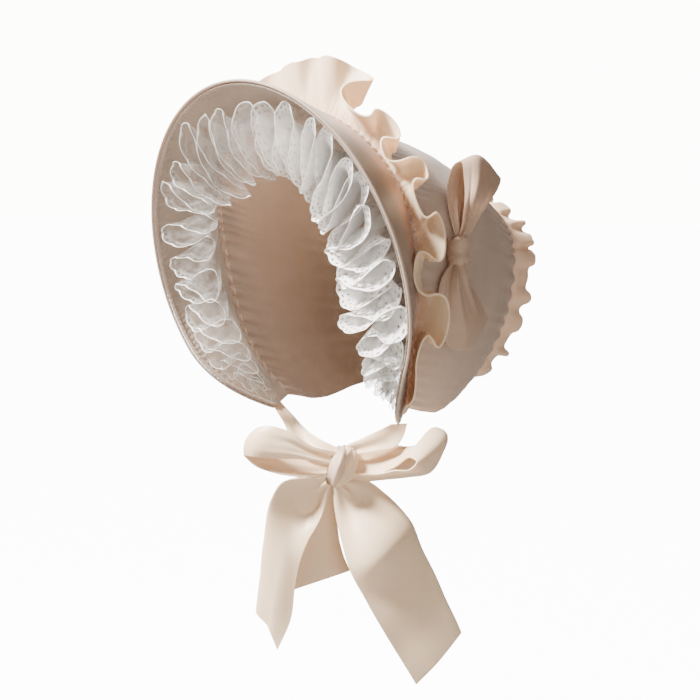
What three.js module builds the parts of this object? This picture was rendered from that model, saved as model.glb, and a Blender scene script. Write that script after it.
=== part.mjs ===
// A baby bonnet of satin, held in the shape that it has on a head.
// Millimetres, +Z up. The wearer looks along -Y, and +X is the wearer's left.
// The origin is the middle of the head's hollow.
// Every cloth piece is a thin closed wall made from a surface of two parameters:
// one runs along the piece and the other across it, both from 0 to 1.
import * as THREE from "three";

// ---------- Driving dimensions ----------

// Arches run from the wearer's right ear over the top of the head to the left ear.
// Each is half an ellipse above centreZ and part of another below it, up to endAngle from the top.
const RIM = { halfWidth: 111, centreZ: 0, top: 133, bottom: 121, endAngle: 148.5 };
// An arch's depth is y at the origin's height, less lean for each millimetre up and curve for its
// square, and its last stretch sweeps back by endSweep.
const RIM_DEPTH = { y: -99, lean: 0.29, curve: 0, endSweep: 36, sweepFrom: 0.79 };

const SEAM = { halfWidth: 88, centreZ: 29, top: 89, bottom: 157, endAngle: 142 };
const SEAM_DEPTH = { y: -55.5, lean: 0.177, curve: 0.0007, endSweep: 24, sweepFrom: 0.79 };

// The crown's sections behind the seam: at is the share of the way to the back edge.
const CROWN_SECTIONS = [
  { at: 0.0, ...SEAM },
  { at: 0.35, halfWidth: 91, centreZ: 19, top: 86, bottom: 150, endAngle: 144 },
  { at: 0.75, halfWidth: 87, centreZ: 6, top: 81, bottom: 121, endAngle: 147 },
  { at: 1.0, halfWidth: 76, centreZ: 10, top: 52, bottom: 108, endAngle: 156 },
];
const BACK_Y = 94;
const BACK_PANEL = { setIn: 1, dome: 5, rings: 2, chordSteps: 6 };

// The brim and the crown each start this share of the way out from the seam, to leave it a gap.
const BRIM_START = 0.02;
const CROWN_START = 0.015;

const BRIM_WALL = 2.4;
const CLOTH_WALL = 1.6;
const LACE_WALL = 1.0;
const RIBBON_WALL = 1.4;
const GAP = 0.4;

const PIPING_RADIUS = 1.5;

// The satin ruffle that stands on the crown: across is its place behind the seam, ends how much
// of the side it covers, and bulge how far its folds round over one another.
const FRONT_RUFFLE = { across: 0.035, ends: 0.985, bulge: 0.003, stepsPerFold: 6, rows: 2 };
// One row for each fold of its free edge: at is -1 at the right ear and 1 at the left, lean the
// angle, in degrees, that the fold falls forwards (-) or back (+), and reach its height.
const FRONT_FOLDS = [
  { at: -1.0, lean: -34, reach: 30 },
  { at: -0.93, lean: -12, reach: 30 },
  { at: -0.86, lean: -48, reach: 30 },
  { at: -0.78, lean: -8, reach: 30 },
  { at: -0.7, lean: -49, reach: 30 },
  { at: -0.62, lean: -8, reach: 30 },
  { at: -0.54, lean: -49, reach: 30 },
  { at: -0.47, lean: -12, reach: 30 },
  { at: -0.4, lean: -51, reach: 30 },
  { at: -0.33, lean: -8, reach: 29 },
  { at: -0.26, lean: -54, reach: 28 },
  { at: -0.19, lean: 10, reach: 27 },
  { at: -0.12, lean: -46, reach: 26 },
  { at: -0.05, lean: 18, reach: 30 },
  { at: 0.02, lean: -42, reach: 34 },
  { at: 0.09, lean: 4, reach: 35 },
  { at: 0.15, lean: -48, reach: 35 },
  { at: 0.22, lean: -6, reach: 34 },
  { at: 0.29, lean: -56, reach: 33 },
  { at: 0.36, lean: -16, reach: 32 },
  { at: 0.43, lean: -53, reach: 31 },
  { at: 0.49, lean: -16, reach: 31 },
  { at: 0.56, lean: -49, reach: 30 },
  { at: 0.64, lean: -9, reach: 30 },
  { at: 0.71, lean: -50, reach: 30 },
  { at: 0.78, lean: -8, reach: 30 },
  { at: 0.86, lean: -47, reach: 30 },
  { at: 0.93, lean: -20, reach: 30 },
  { at: 1.0, lean: -36, reach: 30 },
];

// The gathered lace inside the brim: it leans between two angles towards the rim, and taper is
// the share of its height that it loses towards the ears.
const LACE = { height: 47, taper: 0.35, across: 0.12, ends: 0.97, waves: 18, stepsPerWave: 6 };
const LACE_LEAN = { from: -6, to: 50, atFoot: 0.3 };

// The narrow frill at the crown's back edge: tilt is its angle back from upright.
const BACK_FRILL = { height: 17, across: 0.985, ends: 0.985, waves: 36, stepsPerWave: 4 };
const FRILL_TILT = { mean: 72, swing: 13, atFoot: 0.2 };

// ---------- Small helpers ----------

const v3 = (x, y, z) => new THREE.Vector3(x, y, z);
const radians = THREE.MathUtils.degToRad;
const mix = THREE.MathUtils.lerp;

function smooth(t) {
  const c = Math.min(1, Math.max(0, t));
  return c * c * (3 - 2 * c);
}

// Where at falls in rows that are sorted by it: the row before, and the share of the way on.
function placeInTable(rows, at) {
  const next = rows.findIndex((row) => row.at > at);
  const index = next < 0 ? rows.length - 2 : Math.max(0, next - 1);
  const share = (at - rows[index].at) / (rows[index + 1].at - rows[index].at);
  return { index, share: Math.min(1, Math.max(0, share)) };
}

// The point of an arch at side, from -1 at the right ear to 1 at the left ear.
function archPoint(shape, side) {
  const angle = radians(shape.endAngle) * side;
  const rise = Math.cos(angle);
  const z = shape.centreZ + (rise > 0 ? shape.top : shape.bottom) * rise;
  return { x: shape.halfWidth * Math.sin(angle), z };
}

function archDepth(depth, side, z) {
  const past = Math.max(0, Math.abs(side) - depth.sweepFrom) / (1 - depth.sweepFrom);
  return depth.y - depth.lean * z - depth.curve * z * z + depth.endSweep * past * past;
}

function rimPoint(side) {
  const { x, z } = archPoint(RIM, side);
  return v3(x, archDepth(RIM_DEPTH, side, z), z);
}

function seamPoint(side) {
  const { x, z } = archPoint(SEAM, side);
  return v3(x, archDepth(SEAM_DEPTH, side, z), z);
}

// The brim's middle surface: out is 0 at the seam and 1 at the rim.
function brimPoint(side, out) {
  return seamPoint(side).lerp(rimPoint(side), out);
}

// A smooth curve through a column of the section table, so that no row leaves a ridge.
function sectionValue(column, back) {
  const rows = CROWN_SECTIONS;
  const { index, share } = placeInTable(rows, back);
  const span = rows[index + 1].at - rows[index].at;
  const slope = (a, b) => (rows[b][column] - rows[a][column]) / (rows[b].at - rows[a].at);
  const slopeBefore = slope(Math.max(0, index - 1), index + 1) * span;
  const slopeAfter = slope(index, Math.min(rows.length - 1, index + 2)) * span;
  const eased = smooth(share);
  const left = share * (1 - share);
  return (
    mix(rows[index][column], rows[index + 1][column], eased) +
    left * ((1 - share) * slopeBefore - share * slopeAfter)
  );
}

// The crown's middle surface: back is 0 at the seam and 1 at the back edge.
function crownPoint(side, back) {
  const shape = {};
  for (const column of ["halfWidth", "centreZ", "top", "bottom", "endAngle"])
    shape[column] = sectionValue(column, back);
  const { x, z } = archPoint(shape, side);
  const seamY = archDepth(SEAM_DEPTH, side, z);
  return v3(x, mix(seamY, BACK_Y, back), z);
}

function surfaceNormal(surface, a, b, step = 1e-3) {
  const alongA = surface(a + step, b).sub(surface(a - step, b));
  const alongB = surface(a, b + step).sub(surface(a, b - step));
  return alongA.cross(alongB).normalize();
}

// The normal that points away from the head.
function outwardFrom(surface, side, across) {
  const normal = surfaceNormal(surface, side, across);
  const point = surface(side, across);
  const radial = v3(point.x, 0, point.z);
  return normal.dot(radial) < 0 ? normal.negate() : normal;
}

// ---------- Closed walls ----------

function closedGeometry(points, triangles) {
  let volume = 0;
  for (const [a, b, c] of triangles)
    volume += points[a].clone().cross(points[b]).dot(points[c]);
  const facing = volume < 0 ? ([a, b, c]) => [a, c, b] : (t) => t;
  const geometry = new THREE.BufferGeometry();
  const flat = points.flatMap((p) => [p.x, p.y, p.z]);
  geometry.setAttribute("position", new THREE.Float32BufferAttribute(flat, 3));
  geometry.setIndex(triangles.flatMap(facing));
  geometry.computeVertexNormals();
  return geometry;
}

// A wall of even thickness around a surface, sampled on a grid and closed along its four edges.
function wall(surface, steps, rows, thickness) {
  const points = [];
  const triangles = [];
  const count = (steps + 1) * (rows + 1);
  const inside = (t) => Math.min(1 - 2e-3, Math.max(2e-3, t));
  for (const face of [0.5, -0.5])
    for (let i = 0; i <= steps; i++)
      for (let j = 0; j <= rows; j++) {
        const [a, b] = [i / steps, j / rows];
        const normal = surfaceNormal(surface, inside(a), inside(b));
        points.push(surface(a, b).addScaledVector(normal, face * thickness));
      }
  const at = (face, i, j) => face * count + i * (rows + 1) + j;
  const quad = (a, b, c, d) => triangles.push([a, b, c], [a, c, d]);
  for (let i = 0; i < steps; i++)
    for (let j = 0; j < rows; j++) {
      quad(at(0, i, j), at(0, i + 1, j), at(0, i + 1, j + 1), at(0, i, j + 1));
      quad(at(1, i, j), at(1, i, j + 1), at(1, i + 1, j + 1), at(1, i + 1, j));
    }
  for (let i = 0; i < steps; i++) {
    quad(at(0, i, 0), at(1, i, 0), at(1, i + 1, 0), at(0, i + 1, 0));
    quad(at(0, i, rows), at(0, i + 1, rows), at(1, i + 1, rows), at(1, i, rows));
  }
  for (let j = 0; j < rows; j++) {
    quad(at(0, 0, j), at(0, 0, j + 1), at(1, 0, j + 1), at(1, 0, j));
    quad(at(0, steps, j), at(1, steps, j), at(1, steps, j + 1), at(0, steps, j + 1));
  }
  return closedGeometry(points, triangles);
}

// ---------- Brim, crown and back ----------

const SIDE_STEPS = 40;
const sideOf = (along) => mix(-1, 1, along);

function brimGeometry() {
  const surface = (a, b) => brimPoint(sideOf(a), mix(BRIM_START, 1, b));
  return wall(surface, SIDE_STEPS, 2, BRIM_WALL);
}

// The round cord sewn along the rim's edge, just clear of the brim.
function pipingGeometry() {
  const clear = PIPING_RADIUS + 2 * GAP;
  const points = [];
  for (let i = 0; i <= SIDE_STEPS; i++) {
    const side = sideOf(i / SIDE_STEPS);
    const outward = rimPoint(side).sub(seamPoint(side)).normalize();
    points.push(rimPoint(side).addScaledVector(outward, clear));
  }
  const circle = new THREE.Shape().absarc(0, 0, PIPING_RADIUS, 0, 2 * Math.PI);
  const extrudePath = new THREE.CatmullRomCurve3(points);
  return new THREE.ExtrudeGeometry(circle, { steps: SIDE_STEPS, curveSegments: 6, extrudePath });
}

function crownGeometry() {
  const surface = (a, b) => crownPoint(sideOf(a), mix(CROWN_START, 1, b));
  return wall(surface, SIDE_STEPS, 6, CLOTH_WALL);
}

// The panel that closes the crown's back: an oval with a straight lower edge, domed a little.
function backPanelGeometry() {
  const inset = CLOTH_WALL + GAP;
  const { setIn, dome, rings, chordSteps } = BACK_PANEL;
  const edge = [];
  for (let i = 0; i <= SIDE_STEPS; i++) {
    const side = sideOf(i / SIDE_STEPS);
    const point = crownPoint(side, 1);
    edge.push(point.addScaledVector(v3(point.x, 0, point.z).normalize(), -inset));
  }
  for (let i = 1; i < chordSteps; i++)
    edge.push(edge[SIDE_STEPS].clone().lerp(edge[0], i / chordSteps));
  const n = edge.length;
  const centre = v3(0, BACK_Y, CROWN_SECTIONS.at(-1).centreZ);
  const points = [];
  const triangles = [];
  for (const face of [0.5, -0.5]) {
    for (let r = 1; r <= rings; r++)
      for (const rim of edge) {
        const out = r / rings;
        const point = centre.clone().lerp(rim, out);
        point.y = BACK_Y - setIn + dome * (1 - out * out) + face * CLOTH_WALL;
        points.push(point);
      }
    points.push(centre.clone().setY(BACK_Y - setIn + dome + face * CLOTH_WALL));
  }
  const perFace = rings * n + 1;
  for (let face = 0; face < 2; face++) {
    const turn = (a, b, c) => triangles.push(face ? [a, c, b] : [a, b, c]);
    const at = (r, i) => face * perFace + r * n + (i % n);
    for (let i = 0; i < n; i++) {
      turn(face * perFace + perFace - 1, at(0, i), at(0, i + 1));
      for (let r = 0; r < rings - 1; r++) {
        turn(at(r, i), at(r + 1, i), at(r + 1, i + 1));
        turn(at(r, i), at(r + 1, i + 1), at(r, i + 1));
      }
    }
  }
  const outer = (rings - 1) * n;
  for (let i = 0; i < n; i++) {
    const [a, b] = [outer + i, outer + ((i + 1) % n)];
    triangles.push([a, a + perFace, b + perFace], [a, b + perFace, b]);
  }
  return closedGeometry(points, triangles);
}

// ---------- Ruffles ----------

// A point of a ruffle that stands on a surface: foot is how far off it starts, reach how far up
// the ruffle the point is, and lean the angle that it falls back along the surface.
function rufflePoint(surface, side, { across, inwards, foot, reach, lean }) {
  const out = outwardFrom(surface, side, across).multiplyScalar(inwards ? -1 : 1);
  const aft = surface(side, across + 1e-3).sub(surface(side, across - 1e-3)).normalize();
  return surface(side, across)
    .addScaledVector(out, foot + reach * Math.cos(lean))
    .addScaledVector(aft, reach * Math.sin(lean));
}

// The big satin ruffle that stands on the crown just behind the seam. It leans more as it rises.
function frontRuffleSurface(along, up) {
  const at = sideOf(along);
  const { index, share } = placeInTable(FRONT_FOLDS, at);
  const column = (name) => mix(FRONT_FOLDS[index][name], FRONT_FOLDS[index + 1][name], smooth(share));
  const bend = FRONT_RUFFLE.bulge * up * Math.sin(2 * Math.PI * share);
  return rufflePoint(crownPoint, (at - bend) * FRONT_RUFFLE.ends, {
    across: FRONT_RUFFLE.across,
    foot: CLOTH_WALL + GAP,
    reach: column("reach") * up,
    lean: radians(column("lean")) * mix(0.4, 1, up),
  });
}

// The gathered lace that stands on the brim's lining and frames the face.
function laceSurface(along, up) {
  const side = sideOf(along);
  const wave = (1 - Math.cos(2 * Math.PI * LACE.waves * along)) / 2;
  return rufflePoint(brimPoint, side * LACE.ends, {
    across: LACE.across,
    inwards: true,
    foot: (BRIM_WALL + LACE_WALL) / 2 + GAP,
    reach: LACE.height * up * (1 - LACE.taper * side ** 4),
    lean: radians(mix(LACE_LEAN.from, LACE_LEAN.to, wave)) * mix(LACE_LEAN.atFoot, 1, up),
  });
}

// The narrow frill around the back edge.
function backFrillSurface(along, up) {
  const wave = Math.sin(2 * Math.PI * BACK_FRILL.waves * along);
  const swing = FRILL_TILT.swing * wave * mix(FRILL_TILT.atFoot, 1, up);
  return rufflePoint(crownPoint, sideOf(along) * BACK_FRILL.ends, {
    across: BACK_FRILL.across,
    foot: CLOTH_WALL + GAP,
    reach: BACK_FRILL.height * up,
    lean: radians(FRILL_TILT.mean + swing),
  });
}

// ---------- Ribbons ----------

// A bow's loop: the ribbon leaves the knot, turns at the tip and comes back beneath itself.
// across is the ribbon's width direction, open half the loop's height and pinch the share of its
// width that it keeps at the knot.
function loopSurface({ root, tip, across, width, open, pinch }) {
  const axis = v3(...tip).sub(v3(...root));
  const wide = v3(...across);
  wide.addScaledVector(axis, -wide.dot(axis) / axis.lengthSq()).normalize();
  const lift = axis.clone().cross(wide).normalize();
  const apart = RIBBON_WALL / 2 + GAP;
  return (along, over) => {
    const out = (1 - Math.cos(2 * Math.PI * along)) / 2;
    const rise = open * Math.sin(2 * Math.PI * along) * Math.sqrt(out + 1e-4);
    const half = (width / 2) * mix(pinch, 1, smooth(out / 0.6));
    return v3(...root)
      .addScaledVector(axis, out)
      .addScaledVector(lift, rise + apart * Math.cos(Math.PI * along))
      .addScaledVector(wide, half * (2 * over - 1));
  };
}

function smoothCurve(points) {
  return new THREE.CatmullRomCurve3(points.map((p) => v3(...p)), false, "centripetal");
}

// A point of a curve, carried on straight past its ends.
function curvePoint(curve, t) {
  const held = Math.min(1, Math.max(0, t));
  const length = curve.getLength();
  return curve.getPoint(held).addScaledVector(curve.getTangent(held), (t - held) * length);
}

// A ribbon between two edges.
function bandSurface({ upper, lower }) {
  const edges = [smoothCurve(upper), smoothCurve(lower)];
  return (along, over) => curvePoint(edges[0], along).lerp(curvePoint(edges[1], along), over);
}

// A ribbon folded lengthwise: it runs across from its near hem round the fold to its far hem.
// The fold starts this share of the way from the hems, with half the gap between its two sides.
const FOLD = { start: 0.88, halfGap: 2.3 };

function foldedSurface({ near, fold, far }) {
  const lines = [near, fold, far].map(smoothCurve);
  return (along, over) => {
    const [a, b, c] = lines.map((line) => curvePoint(line, along));
    const centre = a.clone().lerp(b, FOLD.start).add(c.clone().lerp(b, FOLD.start)).divideScalar(2);
    const reach = b.clone().sub(centre);
    const half = a.clone().sub(c).projectOnPlane(reach.clone().normalize()).setLength(FOLD.halfGap);
    const from = centre.clone().add(half);
    const to = centre.clone().sub(half);
    if (over < 0.3) return a.lerp(from, over / 0.3);
    if (over > 0.7) return c.lerp(to, (1 - over) / 0.3);
    reach.multiplyScalar(4 / 3);
    const round = [from, from.clone().add(reach), to.clone().add(reach), to];
    return new THREE.CubicBezierCurve3(...round).getPoint((over - 0.3) / 0.4);
  };
}

// The bow on the crown's left side.
const SIDE_KNOT = { at: [101, -22, 16], size: [13, 16, 22] };
const SIDE_UPPER_LOOP = {
  root: [99, -20, 28], tip: [103, -2, 75], across: [0.15, 1, -0.3], width: 42, open: 8, pinch: 0.4,
};
const SIDE_LOWER_LOOP = {
  root: [99, -21, 4], tip: [101, -8, -44], across: [0.1, 1, 0.2], width: 40, open: 7, pinch: 0.4,
};

// The bow under the chin. Its ties come down from the brim's two ends.
const CHIN_KNOT = { at: [2.5, -33, -142], size: [18, 16, 40], turn: 32 };
const LEFT_TIE = {
  upper: [[56, -32, -106], [47, -30, -109], [33, -32, -114], [15, -34, -121]],
  lower: [[59, -16, -100], [56, -20, -113], [45, -27, -123], [18, -33, -129]],
};
const RIGHT_TIE = {
  upper: [[-56, -32, -106], [-47, -30, -112], [-26, -31, -118], [-7, -32, -123]],
  lower: [[-59, -16, -100], [-57, -21, -115], [-40, -27, -125], [-9, -30, -131]],
};

const CHIN_LEFT_LOOP = {
  root: [16, -31, -138], tip: [65, -4, -130], across: [-0.25, 0.85, 0.46],
  width: 46, open: 6.5, pinch: 0.4,
};
const CHIN_RIGHT_LOOP = {
  root: [-11, -40, -139], tip: [-69, -52, -131], across: [0.5, -0.75, -0.35],
  width: 44, open: 9, pinch: 0.4,
};

const LEFT_TAIL = {
  near: [[5, -38, -162], [7, -41, -180], [14, -42, -205], [39, -36, -253], [69, -26, -303]],
  fold: [[17, -34, -155], [52, -28, -166], [72, -17, -198], [84, -10, -226], [97, -4, -261]],
  far: [[7, -32, -162], [14, -33, -182], [22, -32, -210], [44, -26, -252], [71, -18, -292]],
};
const RIGHT_TAIL = {
  near: [[-6, -40, -163], [-9, -48, -184], [-19, -53, -216], [-24, -56, -250], [-40, -57, -288]],
  fold: [[-14, -39, -157], [-54, -43, -164], [-64, -44, -200], [-68, -44, -228], [-71, -43, -257]],
  far: [[-6, -33, -162], [2, -30, -184], [6, -24, -204], [6, -19, -214], [4, -15, -224]],
};

function knotGeometry([wide, deep, high]) {
  const geometry = new THREE.SphereGeometry(0.5, 14, 8);
  geometry.scale(wide, deep, high);
  return geometry;
}

// ---------- The bonnet ----------

const satin = { color: 0xe9d3c2, roughness: 0.45, metalness: 0 };
const lining = { color: 0xd8c0b0, roughness: 0.6, metalness: 0 };
const laceWhite = { color: 0xf4efee, roughness: 0.85, metalness: 0 };

const bonnet = new THREE.Group();

function addPiece(name, geometry, finish) {
  const piece = new THREE.Mesh(geometry, new THREE.MeshStandardMaterial(finish));
  piece.name = name;
  bonnet.add(piece);
  return piece;
}

addPiece("brim", brimGeometry(), lining);
addPiece("rim_piping", pipingGeometry(), satin);
addPiece("crown", crownGeometry(), satin);
addPiece("back_panel", backPanelGeometry(), satin);

const foldSteps = (FRONT_FOLDS.length - 1) * FRONT_RUFFLE.stepsPerFold;
addPiece("front_ruffle", wall(frontRuffleSurface, foldSteps, FRONT_RUFFLE.rows, CLOTH_WALL), satin);
const laceSteps = LACE.waves * LACE.stepsPerWave;
addPiece("lace_ruffle", wall(laceSurface, laceSteps, 2, LACE_WALL), laceWhite);
const frillSteps = BACK_FRILL.waves * BACK_FRILL.stepsPerWave;
addPiece("back_frill", wall(backFrillSurface, frillSteps, 1, RIBBON_WALL), satin);

for (const [name, spec] of [
  ["side_upper_loop", SIDE_UPPER_LOOP],
  ["side_lower_loop", SIDE_LOWER_LOOP],
  ["chin_left_loop", CHIN_LEFT_LOOP],
  ["chin_right_loop", CHIN_RIGHT_LOOP],
])
  addPiece(name, wall(loopSurface(spec), 18, 2, RIBBON_WALL), satin);

addPiece("left_tie", wall(bandSurface(LEFT_TIE), 8, 2, RIBBON_WALL), satin);
addPiece("right_tie", wall(bandSurface(RIGHT_TIE), 8, 2, RIBBON_WALL), satin);
addPiece("left_tail", wall(foldedSurface(LEFT_TAIL), 12, 10, RIBBON_WALL), satin);
addPiece("right_tail", wall(foldedSurface(RIGHT_TAIL), 12, 10, RIBBON_WALL), satin);

const chinKnot = addPiece("chin_knot", knotGeometry(CHIN_KNOT.size), satin);
chinKnot.position.set(...CHIN_KNOT.at);
chinKnot.rotation.y = radians(CHIN_KNOT.turn);

const sideKnot = addPiece("side_knot", knotGeometry(SIDE_KNOT.size), satin);
sideKnot.position.set(...SIDE_KNOT.at);

export default bonnet;
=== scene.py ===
import math
import bpy
import numpy as np
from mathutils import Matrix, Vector


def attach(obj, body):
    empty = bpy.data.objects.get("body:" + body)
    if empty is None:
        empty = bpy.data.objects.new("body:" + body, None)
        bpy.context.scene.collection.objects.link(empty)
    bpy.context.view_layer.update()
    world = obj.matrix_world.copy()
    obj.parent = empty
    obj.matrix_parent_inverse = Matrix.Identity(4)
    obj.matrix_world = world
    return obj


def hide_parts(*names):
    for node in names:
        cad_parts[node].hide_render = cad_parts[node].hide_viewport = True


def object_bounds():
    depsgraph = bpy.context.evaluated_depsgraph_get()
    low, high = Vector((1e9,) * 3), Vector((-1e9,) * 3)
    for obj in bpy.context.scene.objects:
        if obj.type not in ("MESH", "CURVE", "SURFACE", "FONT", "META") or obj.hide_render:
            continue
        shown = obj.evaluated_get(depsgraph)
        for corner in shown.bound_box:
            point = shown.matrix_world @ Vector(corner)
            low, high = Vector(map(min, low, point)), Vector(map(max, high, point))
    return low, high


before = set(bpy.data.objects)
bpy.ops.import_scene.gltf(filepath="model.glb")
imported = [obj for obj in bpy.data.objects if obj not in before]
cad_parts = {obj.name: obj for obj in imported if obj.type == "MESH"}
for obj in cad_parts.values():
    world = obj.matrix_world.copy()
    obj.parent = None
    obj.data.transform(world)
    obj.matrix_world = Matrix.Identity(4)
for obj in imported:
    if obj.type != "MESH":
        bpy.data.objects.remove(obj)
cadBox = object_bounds()

# The wearer looks along -Y and +X is the wearer's left. Shapes are worked out in millimetres,
# and makeSheet and makeStitches turn them into metres.
mm = 0.001
weldGap = 0.02 * mm
offAxis = (0.31, 0.52, 0.8)  # a direction that no edge of the bonnet follows

# Arches run from the right ear (side -1) over the head to the left ear (side 1).
rimShape = dict(halfWidth=111, centreZ=0, top=133, bottom=121, endAngle=148.5)
rimDepth = dict(y=-99, lean=0.29, curve=0, endSweep=36, sweepFrom=0.79)
seamShape = dict(halfWidth=88, centreZ=29, top=89, bottom=157, endAngle=142)
seamDepth = dict(y=-55.5, lean=0.177, curve=0.0007, endSweep=24, sweepFrom=0.79)
crownSections = dict(
    at=[0, 0.35, 0.75, 1],
    halfWidth=[88, 91, 87, 76],
    centreZ=[29, 19, 6, 10],
    top=[89, 86, 81, 52],
    bottom=[157, 150, 121, 108],
    endAngle=[142, 144, 147, 156],
)
backY = 94  # the depth of the crown's back edge


def smooth(t):
    held = np.clip(t, 0, 1)
    return held * held * (3 - 2 * held)


def mix(a, b, t):
    return a + (b - a) * t


def xyz(x, y, z):
    return np.stack(np.broadcast_arrays(x, y, z), axis=-1).astype(float)


def unit(v):
    return v / np.maximum(np.linalg.norm(v, axis=-1, keepdims=True), 1e-12)


# Two directions across a way, at right angles to each other.
def crossways(way):
    first = unit(np.cross(way, offAxis))
    return first, np.cross(way, first)


# A slow, uneven wave between about -1 and 1, the same on every run.
def wander(t, seed, beats=1.0):
    total = 0
    for order, share in enumerate((0.45, 0.3, 0.25), start=1):
        beat = beats * (order + 0.37 * math.sin(seed * 1.7 + order))
        total = total + share * np.sin(2 * math.pi * beat * t + seed * 2.3 * order)
    return total


# A smooth curve through points, at t from 0 to 1 along its length.
def curveAt(points, t):
    points = np.asarray(points, float)
    gaps = np.linalg.norm(np.diff(points, axis=0), axis=1)
    marks = np.concatenate([[0], np.cumsum(gaps)]) / gaps.sum()
    slopes = np.gradient(points, marks, axis=0)
    t = np.asarray(t, float)
    held = np.clip(t, 0, 1)
    i = np.clip(np.searchsorted(marks, held, side="right") - 1, 0, len(marks) - 2)
    span = (marks[i + 1] - marks[i])[..., None]
    s = ((held - marks[i]) / (marks[i + 1] - marks[i]))[..., None]
    straight = mix(points[i], points[i + 1], s * s * (3 - 2 * s))
    bent = s * (1 - s) * span * ((1 - s) * slopes[i] - s * slopes[i + 1])
    past = (t - held)[..., None]
    return straight + bent + past * np.where(past < 0, slopes[0], slopes[-1])


def archPoint(shape, side):
    angle = np.radians(shape["endAngle"]) * side
    rise = np.cos(angle)
    z = shape["centreZ"] + np.where(rise > 0, shape["top"], shape["bottom"]) * rise
    return shape["halfWidth"] * np.sin(angle), z


def archDepth(depth, side, z):
    past = np.maximum(0, np.abs(side) - depth["sweepFrom"]) / (1 - depth["sweepFrom"])
    return depth["y"] - depth["lean"] * z - depth["curve"] * z * z + depth["endSweep"] * past * past


# The brim's middle layer, from its seam (out 0) to its rim (out 1).
def brimSurface(side, out):
    rimX, rimZ = archPoint(rimShape, side)
    seamX, seamZ = archPoint(seamShape, side)
    rim = xyz(rimX, archDepth(rimDepth, side, rimZ), rimZ)
    seam = xyz(seamX, archDepth(seamDepth, side, seamZ), seamZ)
    return mix(seam, rim, np.asarray(out, float)[..., None])


# The crown's middle layer, from its seam (back 0) to its back edge (back 1).
def crownSurface(side, back):
    marks = np.array(crownSections["at"], float)
    last = len(marks) - 1
    back = np.asarray(back, float)
    i = np.clip(np.searchsorted(marks, back, side="right") - 1, 0, last - 1)
    span = marks[i + 1] - marks[i]
    share = (back - marks[i]) / span
    after = np.minimum(np.arange(last + 1) + 1, last)
    before = np.maximum(np.arange(last + 1) - 1, 0)
    shape = {}
    for column in ("halfWidth", "centreZ", "top", "bottom", "endAngle"):
        row = np.array(crownSections[column], float)
        slope = (row[after] - row[before]) / (marks[after] - marks[before])
        shape[column] = mix(row[i], row[i + 1], smooth(share)) + share * (1 - share) * span * (
            (1 - share) * slope[i] - share * slope[i + 1]
        )
    x, z = archPoint(shape, side)
    return xyz(x, mix(archDepth(seamDepth, side, z), backY, back), z)


# The point, the direction away from the head, and the direction back along the surface.
def surfaceFrame(surface, side, across, step=1e-3):
    along = surface(side + step, across) - surface(side - step, across)
    aft = unit(surface(side, across + step) - surface(side, across - step))
    point = surface(side, across)
    out = unit(np.cross(along, aft))
    away = np.sign(np.sum(out * point * (1, 0, 1), axis=-1, keepdims=True))
    return point, out * away, aft


def deselectAll():
    if bpy.context.object and bpy.context.object.mode != "OBJECT":
        bpy.ops.object.mode_set(mode="OBJECT")
    bpy.ops.object.select_all(action="DESELECT")


# A grid, steps along and across, laid through place(along, across). Its UV map is in metres.
def makeSheet(name, steps, place, uvSize):
    deselectAll()
    bpy.ops.mesh.primitive_grid_add(x_subdivisions=steps[0], y_subdivisions=steps[1], size=1)
    piece = bpy.context.object
    piece.name = name
    mesh = piece.data
    grid = np.empty(len(mesh.vertices) * 3)
    mesh.vertices.foreach_get("co", grid)
    grid = grid.reshape(-1, 3) + 0.5
    mesh.vertices.foreach_set("co", (place(grid[:, 0], grid[:, 1]) * mm).ravel())
    uv = mesh.uv_layers.active.data
    corners = np.empty(len(uv) * 2)
    uv.foreach_get("uv", corners)
    uv.foreach_set("uv", (corners.reshape(-1, 2) * uvSize).ravel())
    mesh.update()
    return piece


def applyModifier(piece, kind, **settings):
    modifier = piece.modifiers.new(kind.title(), kind)
    for key, value in settings.items():
        setattr(modifier, key, value)
    deselectAll()
    piece.select_set(True)
    bpy.context.view_layer.objects.active = piece
    bpy.ops.object.modifier_apply(modifier=modifier.name)


# Gives a sheet its thickness and rounds its cut edges.
def thicken(piece, thickness, hem=0.3):
    applyModifier(piece, "SOLIDIFY", thickness=thickness * mm, offset=0)
    if hem:
        applyModifier(
            piece, "BEVEL", width=hem * thickness * mm, segments=2, limit_method="ANGLE",
            angle_limit=math.radians(60), use_clamp_overlap=True,
        )


# Closes a sheet that was laid round a tube or a ball.
def closeUp(piece):
    applyModifier(piece, "WELD", merge_threshold=weldGap)
    bpy.ops.object.mode_set(mode="EDIT")
    bpy.ops.mesh.select_all(action="SELECT")
    bpy.ops.mesh.fill_holes(sides=0)
    bpy.ops.mesh.select_all(action="SELECT")
    bpy.ops.mesh.normals_make_consistent(inside=False)
    bpy.ops.object.mode_set(mode="OBJECT")


# A round cord along a path, with its steps along and around.
def makeCord(name, path, radius, steps, step=5e-4):
    def place(along, around):
        way = unit(path(np.minimum(along + step, 1)) - path(np.maximum(along - step, 0)))
        first, other = crossways(way)
        turn = 2 * math.pi * around[..., None]
        return path(along) + radius * (np.cos(turn) * first + np.sin(turn) * other)

    piece = makeSheet(name, steps, place, (1.0, 0.01))
    closeUp(piece)
    return piece


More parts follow.
